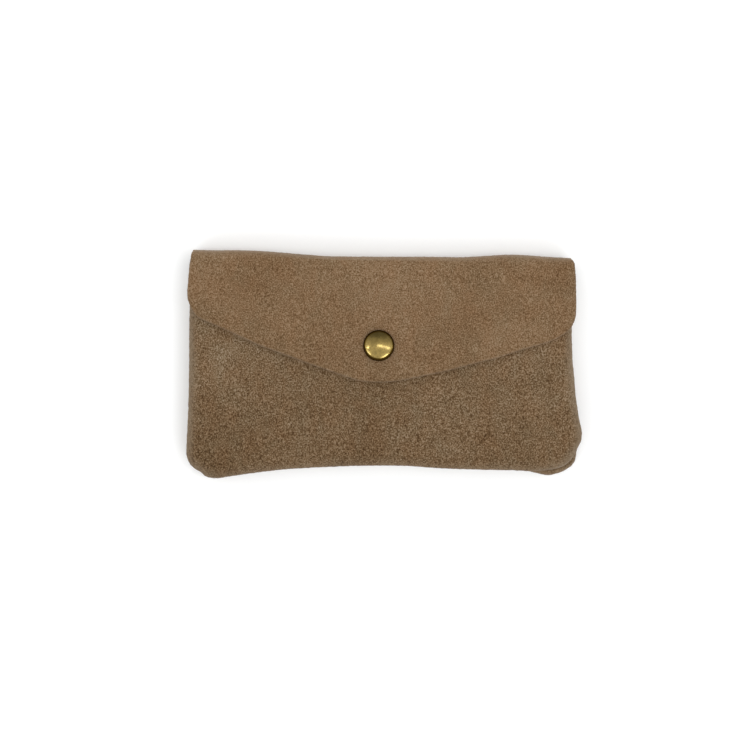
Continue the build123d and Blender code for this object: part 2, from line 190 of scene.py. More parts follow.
def tube_faces(count, rings, first=0):
    """The same, with both ends closed."""
    start = tuple(first + n for n in reversed(range(count)))
    end = tuple(first + (rings - 1) * count + n for n in range(count))
    return [*ring_faces(count, rings, first), start, end]


def shade_smooth(obj):
    obj.data.polygons.foreach_set("use_smooth", [True] * len(obj.data.polygons))
    obj.data.update()


def points_of(obj):
    co = np.empty(len(obj.data.vertices) * 3)
    obj.data.vertices.foreach_get("co", co)
    return co.reshape(-1, 3) / MM


def keep_rest(obj):
    """Stores each point's place at rest, in millimetres, for the materials to read in any pose."""
    layer = obj.data.attributes.new("rest_mm", "FLOAT_VECTOR", "POINT")
    layer.data.foreach_set("vector", points_of(obj).ravel())


def keep_numbers(obj, name, values):
    layer = obj.data.attributes.new(name, "FLOAT", "POINT")
    layer.data.foreach_set("value", np.asarray(values, float).ravel())


def keep_wear_and_painted_light(obj, values):
    """Stores how rubbed each point is, from 0 to 1, with painted sheen on suede edges and painted shade
    in the cap's rim.
    """
    keep_numbers(obj, "wear_and_painted_light", values)


def keep_painted_light_and_tone(obj, values):
    """Stores how much lighter or darker each point is painted, about 0: painted light and shade on the
    front and the flap, a tone blend on the back.
    """
    keep_numbers(obj, "painted_light_and_tone", values)


def give_thickness(obj, thickness, bulge=0.28, butt_z=None, nap=0.0):
    """Makes a sheet a closed hide: an inner side below the outer one, and a rounded cut edge.

    Points whose height is butt_z are where the hide goes on in another piece: they stay square.
    nap roughens the outer side and the cut edge by that much, as brushed suede is.
    """
    outer = points_of(obj)
    normals = np.empty(outer.size)
    obj.data.vertex_normals.foreach_get("vector", normals)
    normals = normals.reshape(-1, 3)
    faces = [tuple(p.vertices) for p in obj.data.polygons]
    ways = {way for f in faces for way in zip(f, f[1:] + f[:1])}
    border = sorted(way for way in ways if way[::-1] not in ways)
    a, b = np.array(border).T
    across = np.cross(outer[b] - outer[a], normals[a] + normals[b])
    across /= np.linalg.norm(across, axis=1)[:, None] + 1e-9
    outward = np.zeros_like(outer)
    np.add.at(outward, a, across)
    np.add.at(outward, b, across)
    outward /= np.linalg.norm(outward, axis=1)[:, None] + 1e-9
    on_border = np.unique(a)
    if butt_z is None:
        at_butt = np.zeros(len(outer), bool)
    else:
        at_butt = np.abs(outer[:, 2] - butt_z) < 0.01
    inner = outer - normals * thickness
    if nap:
        steep = 1 - np.abs(normals[:, 2])
        rough = nap * (1 + 1.3 * steep) * waves(outer, 1.7, 21) * np.where(at_butt, 0, 1)
        outer = outer + normals * rough[:, None]
    steps = 3
    layers = [outer, inner]
    chain = {int(v): [int(v)] for v in on_border}
    for k in range(1, steps + 1):
        share = k / (steps + 1)
        reach = bulge * math.sin(math.pi * share) ** 0.6
        fuzz = nap * 1.3 * waves(outer[on_border] + 5.0 * k, 1.1, 22) if nap else 0.0
        reach = np.where(at_butt[on_border], 0.0, reach + fuzz)
        row = outer[on_border] * (1 - share) + inner[on_border] * share
        first = sum(len(layer) for layer in layers)
        layers.append(row + outward[on_border] * reach[:, None])
        for n, v in enumerate(on_border):
            chain[int(v)].append(first + n)
    for v in on_border:
        chain[int(v)].append(int(v) + len(outer))
    inside = [tuple(v + len(outer) for v in reversed(f)) for f in faces]
    rim = [
        (chain[q][k], chain[p][k], chain[p][k + 1], chain[q][k + 1])
        for p, q in border
        for k in range(steps + 1)
    ]
    mesh = bpy.data.meshes.new(obj.name)
    mesh.from_pydata((np.vstack(layers) * MM).tolist(), [], faces + inside + rim)
    side = [0] * len(faces) + [1] * len(inside) + [0] * len(rim)
    mesh.polygons.foreach_set("material_index", side)
    mesh.polygons.foreach_set("use_smooth", [True] * len(side))
    under = len(outer)
    butt = [(p, q) for p, q in border if at_butt[p] and at_butt[q]]
    square = set(butt) | {(p + under, q + under) for p, q in butt}
    for edge in mesh.edges:
        pair = tuple(edge.vertices)
        if pair in square or pair[::-1] in square:
            edge.use_edge_sharp = True
    mesh.update()
    obj.data = mesh


# ---------------------------------------------------------------- outlines, seen from the front

# Left side, bottom and right side, from mouth to mouth. The bottom corners have two soft lobes
# each, where the turned seam bunches.
LEFT_SIDE = [(-92.4, 53), (-93.2, 38), (-94.0, 22), (-94.1, 4), (-94.3, -14), (-94.9, -30), (-95.4, -40)]
LEFT_CORNER = [(-95.2, -45.8), (-92.6, -50.2), (-88.4, -52.8), (-85.6, -55.1)]
BOTTOM = [(-80.6, -55.8), (-73.0, -54.7), (-60, -52.9), (-46, -51.4), (-30, -50.5), (-12, -49.8)]
BOTTOM += [(10, -49.8), (26, -50.9), (44, -51.6), (60, -51.9)]
FRONT_RIGHT_CORNER = [(72.0, -52.3), (80.0, -51.8), (87.0, -50.0), (91.1, -46.5), (93.6, -42.0)]
REAR_RIGHT_CORNER = [(71.0, -52.8), (80.0, -54.6), (87.5, -52.7), (92.9, -48.5), (94.2, -42.8)]
RIGHT_SIDE = [(95.8, -37.4), (96.0, -33.0), (94.6, -26), (93.3, -17), (92.4, -7), (91.5, 3), (91.2, 17)]
RIGHT_SIDE += [(91.2, 34), (91.0, 51)]

SIDE_STEPS = 132
ACROSS_STEPS = 236


def outline_loop(right_corner, top_left, top_right):
    """A closed loop, anticlockwise from the top left: left side, bottom, right side, top."""
    left = [top_left, *LEFT_SIDE[1:], *LEFT_CORNER]
    right = [*right_corner, *RIGHT_SIDE[:-1], top_right]
    whole = catmull_rom([*left, *BOTTOM, *right])
    corner_a = np.argmin(np.linalg.norm(whole - np.array(LEFT_CORNER[2]), axis=1))
    corner_b = np.argmin(np.linalg.norm(whole - np.array(right_corner[2]), axis=1))
    side_a = resample(whole[: corner_a + 1], SIDE_STEPS)
    bottom = resample(whole[corner_a : corner_b + 1], ACROSS_STEPS)
    side_b = resample(whole[corner_b:], SIDE_STEPS)
    top = resample(np.array([top_right, top_left], float), ACROSS_STEPS)
    return np.vstack([side_a[:-1], bottom[:-1], side_b[:-1], top[:-1]])


def inward_normals(loop):
    along = np.roll(loop, -1, 0) - np.roll(loop, 1, 0)
    along /= np.linalg.norm(along, axis=1)[:, None]
    return np.column_stack([-along[:, 1], along[:, 0]])


def fill(top, bottom, left, right):
    """A grid of plan positions between four sides that share their corners.

    The spacing of the top side soon fades, because its corners are crowded.
    """
    v = np.linspace(0, 1, len(left))[:, None, None]
    u = np.linspace(0, 1, len(top))[None, :, None]
    ruled = (1 - u) * left[:, None] + u * right[:, None]
    off_top = top[None] - ((1 - u) * top[0] + u * top[-1])
    off_bottom = bottom[None] - ((1 - u) * bottom[0] + u * bottom[-1])
    return ruled + np.clip(1 - 8 * v, 0, 1) ** 2 * off_top + v * off_bottom


def fill_ring(ring):
    """The grid inside a ring of SIDE, ACROSS, SIDE and ACROSS steps."""
    n, m = SIDE_STEPS, ACROSS_STEPS
    closed = np.vstack([ring, ring[:1]])
    right = closed[n + m : 2 * n + m + 1][::-1]
    return fill(closed[2 * n + m :][::-1], closed[n : n + m + 1], closed[: n + 1], right)


def pouch_sheet(loop, profile, blend_flat=None, facing=1):
    """Points and faces of a sheet whose edge follows a loop.

    profile is a list of (inset, height) from the seam inward. blend_flat gives, for each point of
    the loop, how much of the profile it keeps (1) or how flat it lies there (0). Returns the
    points with no height in the middle yet, a mask of the middle points, the faces, and the rings
    of plan positions from the edge inward.
    """
    count = len(loop)
    last = len(profile) - 1
    keep = np.ones(count) if blend_flat is None else blend_flat
    inward = inward_normals(smooth_loop(loop, 3.0))
    middle_of_loop = (loop.min(0) + loop.max(0)) / 2
    shrink = profile[-1][0] / (np.ptp(loop[:, 0]) / 2)
    rings, heights = [], []
    for k, (inset, height) in enumerate(profile):
        share = k / last
        eased = loop * (1 - share) + smooth_loop(loop, 4.4 * share) * share
        turned = eased + inward * inset
        flat = loop + share * shrink * (middle_of_loop - loop)
        rings.append(keep[:, None] * turned + (1 - keep[:, None]) * flat)
        heights.append(keep * height + (1 - keep) * profile[-1][1])
    points = [np.column_stack([r, h]) for r, h in zip(rings, heights)]
    faces = ring_faces(count, len(profile))
    grid = fill_ring(rings[-1])
    n, m = SIDE_STEPS, ACROSS_STEPS
    index = np.full((n + 1, m + 1), -1)
    first = last * count
    index[:, 0] = first + np.arange(n + 1)
    index[n, :] = first + n + np.arange(m + 1)
    index[:, m] = first + (2 * n + m - np.arange(n + 1))
    index[0, :] = first + (2 * n + 2 * m - np.arange(m + 1)) % count
    inner = count * len(profile) + np.arange((n - 1) * (m - 1)).reshape(n - 1, m - 1)
    index[1:n, 1:m] = inner
    middle = grid[1:n, 1:m].reshape(-1, 2)
    points.append(np.column_stack([middle, np.full(len(middle), profile[-1][1])]))
    for i in range(n):
        for j in range(m):
            faces.append((index[i, j], index[i + 1, j], index[i + 1, j + 1], index[i, j + 1]))
    if facing < 0:
        faces = [f[::-1] for f in faces]
    is_middle = np.zeros(count * len(profile) + len(middle), bool)
    is_middle[count * len(profile) :] = True
    return np.vstack(points), is_middle, [tuple(int(v) for v in f) for f in faces], rings


def nearest_on(line, xy):
    """Distance from each point to the nearest point of a line, and which point that is."""
    distance, nearest = np.empty(len(xy)), np.empty(len(xy), int)
    at_once = 4000
    for start in range(0, len(xy), at_once):
        part = slice(start, start + at_once)
        square = ((xy[part, None, :] - line[None]) ** 2).sum(2)
        distance[part], nearest[part] = np.sqrt(square.min(1)), square.argmin(1)
    return distance, nearest


def distance_to(line, xy):
    return nearest_on(line, xy)[0]


# ---------------------------------------------------------------- the front's surface

NAP = 0.07
PLATEAU = FRONT_TOP - 0.1
# The turned edge: its radius, how far round it goes, how high its widest line stands, its pucker
EDGE_ROLL = 5.0
ROLL_TURN = math.radians(78)
FRONT_WIDEST_UP = 5.2
PUCKER = 0.22
# How much lower the stuffed front is at its edge, and how far in that reaches
SAG = 1.9
SAG_REACH = 9.0
# The press stud draws the front down to its own level
DIMPLE_RADIUS, DIMPLE_EASE = 6.0, 9.0
# The closing seams, tucked into the crease between the pouches
SEAM_INSET = 2.4
SEAM_Z = (rear_divider_low[2] + front_divider_low[2] + DIVIDER) / 2
CREASE = 0.3
THREAD = 0.2
THREAD_TOP_Y = DIVIDER_TOP_Y - 3

# The loops run on past the mouth, where the pouches are cut
LOOP_TOP = ((-91.6, 66.0), (90.9, 66.0))
front_loop = outline_loop(FRONT_RIGHT_CORNER, *LOOP_TOP)
rear_loop = outline_loop(REAR_RIGHT_CORNER, *LOOP_TOP)
front_edge = front_loop[: 2 * SIDE_STEPS + ACROSS_STEPS + 1]
front_edge_inward = inward_normals(front_loop)[: len(front_edge)]


def signed_distance(xy):
    """Distance inside the front pouch's edge; below zero outside it."""
    distance, nearest = nearest_on(front_edge, xy)
    side = ((xy - front_edge[nearest]) * front_edge_inward[nearest]).sum(1)
    return distance * np.where(side < 0, -1, 1)


def snap_distance(xy):
    return np.linalg.norm(xy - SNAP, axis=1)


def edge_drop(inside):
    """How far the stuffed front falls away at a distance inside its edge."""
    d = np.clip(inside, 0, None)
    to_flat = np.clip(EDGE_ROLL - d, 0, None)
    roll = EDGE_ROLL - np.sqrt(EDGE_ROLL**2 - to_flat**2)
    return roll + SAG * np.exp(-d / SAG_REACH)


def front_waves(xy, inside):
    calm = smoothstep(inside / 14) * smoothstep((snap_distance(xy) - 10) / 25)
    return calm * (0.55 * waves(xy, 46, 1) + 0.16 * waves(xy, 13, 2))


def front_surface(xy, inside):
    """Height of the front pouch's outer face."""
    top = PLATEAU - edge_drop(inside) + front_waves(xy, inside)
    dimple = 1 - smoothstep((snap_distance(xy) - DIMPLE_RADIUS) / DIMPLE_EASE)
    return top * (1 - dimple) + stud_low[2] * dimple


# ---------------------------------------------------------------- leather pieces


def rolled_profile(seam_z, widest_z, top_z, roll, steps=9):
    """(inset, height) from a tucked seam, out to the widest point and over to the top."""
    low = []
    for k in range(steps // 2):
        turn = math.pi / 2 * (k / (steps // 2))
        low.append((SEAM_INSET * (1 - math.sin(turn)), widest_z + (seam_z - widest_z) * math.cos(turn)))
    high = []
    for k in range(steps + 1):
        turn = ROLL_TURN * k / steps
        high.append((roll * (1 - math.cos(turn)), widest_z + (top_z - widest_z) * math.sin(turn)))
    return low + high


def build_front_pouch():
    """Front wall of the front pouch: pillowed, turned at its edges, open at the mouth."""
    inset_end = EDGE_ROLL * (1 - math.cos(ROLL_TURN))
    crest = PLATEAU - float(edge_drop(np.array([inset_end]))[0])
    widest = front_low[2] + FRONT_WIDEST_UP
    crown = widest + (crest - widest) / math.sin(ROLL_TURN)
    profile = rolled_profile(SEAM_Z + CREASE / 2, widest, crown, EDGE_ROLL)
    points, middle, faces, rings = pouch_sheet(front_loop, profile)
    xy = points[middle][:, :2]
    inner_edge = rings[-1][: len(front_edge)]
    inside = distance_to(inner_edge, xy) + inset_end
    points[middle, 2] = front_surface(xy, inside)
    # The turned edge puckers a little where it is drawn in
    edge = ~middle
    pucker = waves(points[edge][:, :2], 7, 5)
    share = np.repeat(np.linspace(0, math.pi, len(profile)), len(front_loop))
    points[edge, 2] += PUCKER * pucker * np.sin(share)
    obj = make_object("front_pouch", points, faces)
    cut_at_mouth(obj, MOUTH_Y)
    give_thickness(obj, HIDE, nap=NAP)
    at = points_of(obj)
    # Painted sheen with wear: the turned edges are painted paler, most of all on the sides; the cut mouth
    # edge is paler too
    paleness = (1 - smoothstep(signed_distance(at[:, :2]) / 5.5)) * side_wear_and_sheen(at)
    paleness = np.maximum(paleness, smoothstep((at[:, 1] - MOUTH_Y + 1.5) / 1.5))
    keep_wear_and_painted_light(obj, paleness)
    # Painted light: the front is painted lighter near the flap's edge, to lift the shade the flap casts
    # there, and darker towards the bottom, as if lit from the top
    keep_painted_light_and_tone(obj, 0.048 - 0.068 * smoothstep((4 - at[:, 1]) / 52))
    keep_rest(obj)
    return obj


def side_wear_and_sheen(at):
    """The sides are rubbed more than the bottom, and carry more painted sheen."""
    return 0.30 + 0.70 * smoothstep((np.abs(at[:, 0]) - 78) / 10)


def cut_at_mouth(obj, y):
    """Cuts away what lies beyond y."""
    bm = bmesh.new()
    bm.from_mesh(obj.data)
    everything = bm.verts[:] + bm.edges[:] + bm.faces[:]
    place, across = (0, y * MM, 0), (0, 1, 0)
    bmesh.ops.bisect_plane(bm, geom=everything, plane_co=place, plane_no=across, clear_outer=True)
    bm.to_mesh(obj.data)
    bm.free()


def build_back_leather():
    """Back of the wallet in one sheet: the rear pouch's wall, the lower fold and half the spine."""
    left = from_flap(-SPINE_REACH_LEFT, BEND_Y)
    right = from_flap(SPINE_REACH_RIGHT, BEND_Y)
    loop = outline_loop(REAR_RIGHT_CORNER, left, right)
    seam_z = SEAM_Z - CREASE / 2
    face_z, roll = 0.02, 3.4
    profile = rolled_profile(seam_z, seam_z * 0.50, 0.05, roll)
    profile[-1] = (profile[-1][0], face_z)
    along_y = loop @ UP_FLAP[:2]
    keep = 1 - smoothstep((along_y - (BEND_Y - 15)) / 12)
    points, middle, faces, _ = pouch_sheet(loop, profile, keep, facing=-1)
    xy = points[middle][:, :2]
    inside = distance_to(loop, xy)
    points[middle, 2] = face_z + 0.18 * smoothstep(inside / 20) * (0.5 + 0.5 * waves(xy, 30, 7))
    count = len(loop)
    top = [(2 * SIDE_STEPS + ACROSS_STEPS + k) % count for k in range(ACROSS_STEPS + 1)]
    rows = fold_rows(points[top][:, :2], lower=True)
    points, faces = add_rows(points, faces, top, rows)
    obj = make_object("back_leather", points, faces)
    give_thickness(obj, HIDE, butt_z=SPINE_MIDDLE_Z, nap=NAP)
    at = points_of(obj)
    own = to_flap(at)
    # Painted sheen with wear: the rolled edges by the seam are painted paler
    paleness = (1 - smoothstep(distance_to(loop, at[:, :2]) / 4)) * (at[:, 2] < seam_z + 1)
    keep_wear_and_painted_light(obj, np.maximum(0.6 * paleness, fold_wear_and_sheen(own)))
    # Its nap grows lighter towards the flap, which is the same cut of hide
    reach = 22.0
    keep_painted_light_and_tone(obj, 0.125 * smoothstep((own[:, 1] - (BEND_Y - reach)) / (reach + FOLD_RADIUS)))
    keep_rest(obj)
    return obj


# How far the spine's middle stands out
SPINE_BOW = 0.9


def fold_rows(start_xy, lower):
    """Rows of points from the flat hide round one fold to the middle of the spine."""
    across = start_xy @ ALONG_FOLD[:2]
    rows = []
    bend_steps, spine_steps = 12, 8
    for k in range(1, bend_steps + 1):
        turn = math.pi / 2 * k / bend_steps
        y = BEND_Y + OUTER_RADIUS * math.sin(turn)
        rise = OUTER_RADIUS * math.cos(turn)
        rows.append((y, LOWER_BEND_Z - rise if lower else UPPER_BEND_Z + rise))
    end = rows[-1][1]
    for k in range(1, spine_steps + 1):
        rows.append((rows[bend_steps - 1][0], end + (SPINE_MIDDLE_Z - end) * k / spine_steps))
    out = []
    for y, z in rows:
        out_there = smoothstep((y - BEND_Y) / OUTER_RADIUS)
        rounded = 1 - math.sqrt(max(0.0, 1 - min(1.0, (y - BEND_Y) / OUTER_RADIUS) ** 2))
        drawn_in = 0.5 * np.exp((across.min() - across) / 2.5)
        drawn_in -= 1.3 * np.exp((across - across.max()) / 2.5)
        bow = SPINE_BOW * math.sin(math.pi * (z - LOWER_BEND_Z) / (UPPER_BEND_Z - LOWER_BEND_Z))
        shape = top_edge_shape(across) * out_there + max(0.0, bow)
        px, py = from_flap(across + drawn_in * rounded, y + shape)
        out.append(np.column_stack([px, py, np.full(len(across), z)]))
    return out


# How far the folded top edge stands behind or before a straight line, along the fold
TOP_EDGE = [(-94, -0.6), (-82, -0.6), (-72, -0.35), (-60, -0.5), (-48, -1.2), (-36, -1.9), (-25, -2.3)]
TOP_EDGE += [(0, -1.95), (22, -1.5), (36, -1.4), (47, -0.6), (59, 0.3), (68, 0.25), (78, -0.3)]
TOP_EDGE += [(91, -0.65)]


def top_edge_shape(across):
    line = catmull_rom(TOP_EDGE, 8)
    return np.interp(across, line[:, 0], line[:, 1])


def add_rows(points, faces, first_row, rows):
    """Joins rows of new points to a row of old ones."""
    faces = list(faces)
    previous = list(first_row)
    for row in rows:
        current = list(range(len(points), len(points) + len(row)))
        points = np.vstack([points, row])
        faces += zip(previous, previous[1:], current[1:], current)
        previous = current
    return points, faces


# The flap's edges, in the flap's own frame, from the fold down to each shoulder and between them
FLAP_LEFT = [(-93.7, BEND_Y), (-94.3, 45), (-94.8, 40), (-95.2, 35), (-95.4, 32), (-95.0, 28.7)]
FLAP_LEFT += [(-94.0, 26.2), (-92.8, 23.6), (-90.9, 21.0)]
FLAP_EDGE = [(-90.9, 21.0), (-88.2, 19.4), (-78.4, 15.4), (-68.7, 11.2), (-59.7, 7.4)]
FLAP_EDGE += [(-48.5, 3.5), (-36.3, -0.8), (-28.0, -3.5), (-19.0, -6.4), (-11.6, -8.5), (-1.9, -9.1)]
FLAP_EDGE += [(8.0, -8.1), (21.4, -5.1), (32.0, -2.5), (44.5, 1.1), (56.0, 4.4), (67.5, 8.4)]
FLAP_EDGE += [(79.8, 12.3), (86.6, 16.0), (90.2, 19.4)]
FLAP_RIGHT = [(90.9, BEND_Y), (91.4, 45), (91.9, 40), (92.3, 33), (92.4, 27), (91.8, 22.9), (90.2, 19.4)]
SPINE_REACH_LEFT = -FLAP_LEFT[0][0]
SPINE_REACH_RIGHT = FLAP_RIGHT[0][0]


def build_flap_leather():
    """Flap in one sheet with half the spine and the upper fold."""
    columns, rows_down = 250, 72
    left = resample(catmull_rom(FLAP_LEFT), rows_down)
    right = resample(catmull_rom(FLAP_RIGHT), rows_down)
    lower = resample(catmull_rom(FLAP_EDGE), columns)
    upper = resample(np.array([left[0], right[0]]), columns)
    flat = fill(upper, lower, left, right).reshape(-1, 2)
    xy = np.column_stack(from_flap(flat[:, 0], flat[:, 1]))
    cut_edge = np.vstack([left, lower, right])
    z = flap_surface(xy, flat, distance_to(lower, flat))
    points = np.column_stack([xy, z])
    width = columns + 1
    faces = []
    for i in range(rows_down):
        for j in range(columns):
            a = i * width + j
            faces.append((a, a + width, a + width + 1, a + 1))
    rows = fold_rows(points[:width, :2], lower=False)
    points, faces = add_rows(points, faces, range(width), rows)
    obj = make_object("flap_leather", points, faces)
    give_thickness(obj, HIDE, butt_z=SPINE_MIDDLE_Z, nap=NAP)
    at = points_of(obj)
    own = to_flap(at)
    paleness = 0.55 * (1 - smoothstep(distance_to(cut_edge, own) / 0.9))
    keep_wear_and_painted_light(obj, np.maximum(paleness, fold_wear_and_sheen(own)))
    # Painted shade: the flap is painted darker towards its lower edge
    keep_painted_light_and_tone(obj, 0.006 - 0.045 * np.exp(-distance_to(lower, own) / 8))
    keep_rest(obj)
    return obj


def fold_wear_and_sheen(own):
    """The fold over the top edge is paler: rubbed, and painted with sheen where it turns away from the
    light.
    """
    return 0.3 * smoothstep((own[:, 1] - (BEND_Y - 1.0)) / (OUTER_RADIUS + 1.0))


def flap_surface(xy, own, to_edge):
    """Height of the flap's outer face: it lies on the front, and lifts a little along its slopes."""
    inside = signed_distance(xy)
    softened = PLATEAU - SAG * np.exp(-np.clip(inside, -4, None) / SAG_REACH)
    softened -= 0.5 * np.exp(-(np.clip(inside, -3, None) + 2) / 3)
    rest = softened + front_waves(xy, np.clip(inside, 0, None)) + 0.12 + HIDE
    slopes = np.exp(-(((own[:, 0] + 52) / 26) ** 2)) + np.exp(-(((own[:, 0] - 58) / 24) ** 2))
    lift = (0.02 + 0.30 * slopes) * (1 - smoothstep(to_edge / 13))
    rest += lift + 0.10 * waves(own, 9, 11) * smoothstep(to_edge / 6)
    level = flap_high[2]
    near_snap = 1 - smoothstep((snap_distance(xy) - 8.5) / 16)
    near_fold = smoothstep((own[:, 1] - (BEND_Y - 14)) / 14)
    share = np.maximum(near_snap, near_fold)
    return rest * (1 - share) + level * share


def build_divider(name, loop, seam_z, plateau_z):
    """An inner wall, from the seam up to its own level, cut straight at its top."""
    profile = []
    steps, rise_over = 14, 8.0
    for k in range(steps + 1):
        t = k / steps
        height = seam_z + (plateau_z - seam_z) * float(smoothstep(t))
        profile.append((SEAM_INSET + 0.6 + rise_over * t, height))
    points, _, faces, _ = pouch_sheet(loop, profile)
    obj = make_object(name, points, faces)
    cut_at_mouth(obj, DIVIDER_TOP_Y)
    give_thickness(obj, DIVIDER, bulge=0.15)
    at = points_of(obj)
    keep_wear_and_painted_light(obj, smoothstep((at[:, 1] - DIVIDER_TOP_Y + 1.2) / 1.2))
    keep_rest(obj)
    return obj


def lathe(name, outline, closed=False, around=144):
    """A solid turned round the press stud's axis from (radius, height) points."""
    points, faces, rings = [], [], []
    for r, z in outline:
        if r == 0.0:
            rings.append([len(points)])
            points.append((SNAP[0], SNAP[1], z))
            continue
        rings.append(list(range(len(points), len(points) + around)))
        for n in range(around):
            turn = 2 * math.pi * n / around
            points.append((SNAP[0] + r * math.cos(turn), SNAP[1] + r * math.sin(turn), z))
    if closed:
        rings.append(rings[0])
    for low, high in zip(rings, rings[1:]):
        for n in range(around):
            m = (n + 1) % around
            if len(low) == 1:
                faces.append((low[0], high[m], high[n]))
            elif len(high) == 1:
                faces.append((low[n], low[m], high[0]))
            else:
                faces.append((low[n], low[m], high[m], high[n]))
    obj = make_object(name, points, faces)
    shade_smooth(obj)
    return obj


def build_cap():
    """Cap of the press stud: a rolled rim round a low dome, closed below."""
    base, top = cap_low[2], cap_high[2]
    rim = 0.76
    middle_r, middle_z = CAP_RADIUS - rim, base + rim + 0.02
    dome_r, dome_z = middle_r - 0.16, middle_z + rim - 0.01
    rise = top - dome_z
    ball = (dome_r**2 + rise**2) / (2 * rise)
    outline = [(0.0, base + 0.05), (middle_r - 0.6, base + 0.05)]
    for k in range(25):
        turn = math.radians(-105 + 205 * k / 24)
        outline.append((middle_r + rim * math.cos(turn), middle_z + rim * math.sin(turn)))
    for k in range(29):
        r = dome_r * (1 - k / 28)
        outline.append((r, top - ball + math.sqrt(ball**2 - r**2)))
    obj = lathe("stud_cap", outline)
    at = points_of(obj)
    out = np.linalg.norm(at[:, :2] - SNAP, axis=1)
    # Painted shade and dark reflection, with some patina: the rolled rim is painted dark, widest on the
    # side nearest the flap's tip, where a contact shadow falls, and a little wider at the top, where the
    # rim would mirror the bright room
    lean = (at[:, 1] - SNAP[1]) / CAP_RADIUS
    film = 0.34 + 0.14 * smoothstep(lean) + 0.50 * np.clip(-lean, 0, 1)
    keep_wear_and_painted_light(obj, smoothstep((out - dome_r + film) / 0.6))
    keep_rest(obj)
    return obj


def build_backing():
    """Leather washer behind the stud, its rim pressed round."""
    low, high = box_mm("snap_backing")
    outer, hole, middle = (high[0] - low[0]) / 2, 1.1, (low[2] + high[2]) / 2
    half = (high[2] - low[2]) / 2
    outline = [(hole, middle - half), (hole, middle + half)]
    outline += [(outer * 0.5, middle + half), (outer - 1.2, middle + 0.8 * half)]
    for k in range(9):
        turn = math.radians(80 - 160 * k / 8)
        outline.append((outer - 0.45 + 0.45 * math.cos(turn), middle + 0.75 * half * math.sin(turn)))
    outline += [(outer - 1.2, middle - 0.8 * half), (outer * 0.5, middle - half)]
    obj = lathe("stud_backing", outline[::-1], closed=True, around=72)
    keep_wear_and_painted_light(obj, np.zeros(len(obj.data.vertices)))
    keep_rest(obj)
    return obj


def add_stitch(points, faces, path, across):
    """Adds one thread stitch, thin at its ends, where it goes into the leather."""
    sides, steps, up = 8, len(path) - 1, np.array([0.0, 0.0, 1.0])
    first = len(points)
    for k, centre in enumerate(path):
        thick = THREAD * (0.45 + 0.55 * math.sin(math.pi * k / steps) ** 0.5)
        for n in range(sides):
            turn = 2 * math.pi * n / sides
            points.append(centre + across[k] * thick * math.cos(turn) + up * thick * math.sin(turn))
    faces += tube_faces(sides, len(path), first)


def build_seam(name, loop, z):
    """Hidden closing seam: short thread stitches along the sides and the bottom."""
    line = resample(loop[: 2 * SIDE_STEPS + ACROSS_STEPS + 1], 2400)
    run = np.concatenate([[0], np.cumsum(np.linalg.norm(np.diff(line, axis=0), axis=1))])
    pitch, length, steps = 3.0, 2.3, 6
    points, faces = [], []
    for start in np.arange(0.0, run[-1] - length, pitch):
        if np.interp(start, run, line[:, 1]) > THREAD_TOP_Y:
            continue
        along = start + length * np.linspace(0, 1, steps + 1)
        path = np.column_stack([np.interp(along, run, line[:, 0]), np.interp(along, run, line[:, 1])])
        step = np.gradient(path, axis=0)
        step /= np.linalg.norm(step, axis=1)[:, None]
        across = np.column_stack([-step[:, 1], step[:, 0], np.zeros(steps + 1)])
        path = np.column_stack([path, np.full(steps + 1, z)]) + across * (SEAM_INSET + 1.4)
        add_stitch(points, faces, path, across)
    obj = make_object(name, points, faces)
    shade_smooth(obj)
    return obj


# The zip's tapes: side is 1 for the front one and -1 for the rear one
TAPE = 0.5
TAPE_BEND = 1.3
TAPE_CORD = 0.40
ZIP_STITCH_UP = 3.0


def tape_levels(node, side):
    """Height of the tape's sewn leg and of its edge at the teeth."""
    low, high = box_mm(node)
    return (high[2] - TAPE / 2, low[2]) if side > 0 else (low[2] + TAPE / 2, high[2])


def build_tape(name, node, side):
    """A woven tape, sewn flat below and turned over to the teeth, with a cord in its edge."""
    low, high = box_mm(node)
    leg, edge = tape_levels(node, side)
    crest = high[1] - TAPE / 2
    line = [(y, leg, TAPE / 2) for y in np.linspace(low[1] + 0.2, crest - TAPE_BEND, 8)]
    for k in range(1, 8):
        turn = math.pi / 2 * k / 7
        y = crest - TAPE_BEND * (1 - math.sin(turn))
        line.append((y, leg - side * TAPE_BEND * (1 - math.cos(turn)), TAPE / 2))
    line.append((crest, edge + side * 2 * TAPE_CORD, TAPE / 2))
    for k in range(7):
        turn = math.pi * (k + 0.5) / 7
        line.append((crest, edge + side * TAPE_CORD * (1 + math.cos(turn)), TAPE_CORD * math.sin(turn)))
    line = np.array(line)
    step = np.gradient(line[:, :2], axis=0)
    step /= np.linalg.norm(step, axis=1)[:, None]
    normal = np.column_stack([-step[:, 1], step[:, 0]])
    section = np.vstack([line[:, :2] + normal * line[:, 2:], (line[:, :2] - normal * line[:, 2:])[::-1]])
    steps = 320
    points = []
    slack = smoothstep((np.concatenate([line[:, 0], line[::-1, 0]]) - crest) / -6)
    for k in range(steps + 1):
        x = low[0] + (high[0] - low[0]) * k / steps
        ripple = 0.16 * math.sin(x / 5.3 + side) * math.sin(x / 17.0) * slack
        for (y, z), out in zip(section, ripple):
            points.append((x, y, z + min(0.0, side * out) * side))
    faces = tube_faces(len(section), steps + 1)
    if side > 0:
        faces = [f[::-1] for f in faces]
    obj = make_object(name, points, faces)
    shade_smooth(obj)
    keep_rest(obj)
    return obj


def build_zip_stitches(name, node, side):
    """The row of thread that holds a tape to its divider."""
    low, high = box_mm(node)
    leg = tape_levels(node, side)[0] + side * (TAPE / 2 + 0.08)
    pitch, length, count = 3.2, 2.3, 7
    points, faces = [], []
    across, run = np.tile([0.0, 1.0, 0.0], (count, 1)), np.linspace(0, length, count)
    for x in np.arange(low[0] + 0.5, high[0] - 2.5, pitch):
        path = np.column_stack([x + run, np.full(count, low[1] + ZIP_STITCH_UP), np.full(count, leg)])
        add_stitch(points, faces, path, across)
    obj = make_object(name, points, faces)
    shade_smooth(obj)
    return obj


# ---------------------------------------------------------------- materials


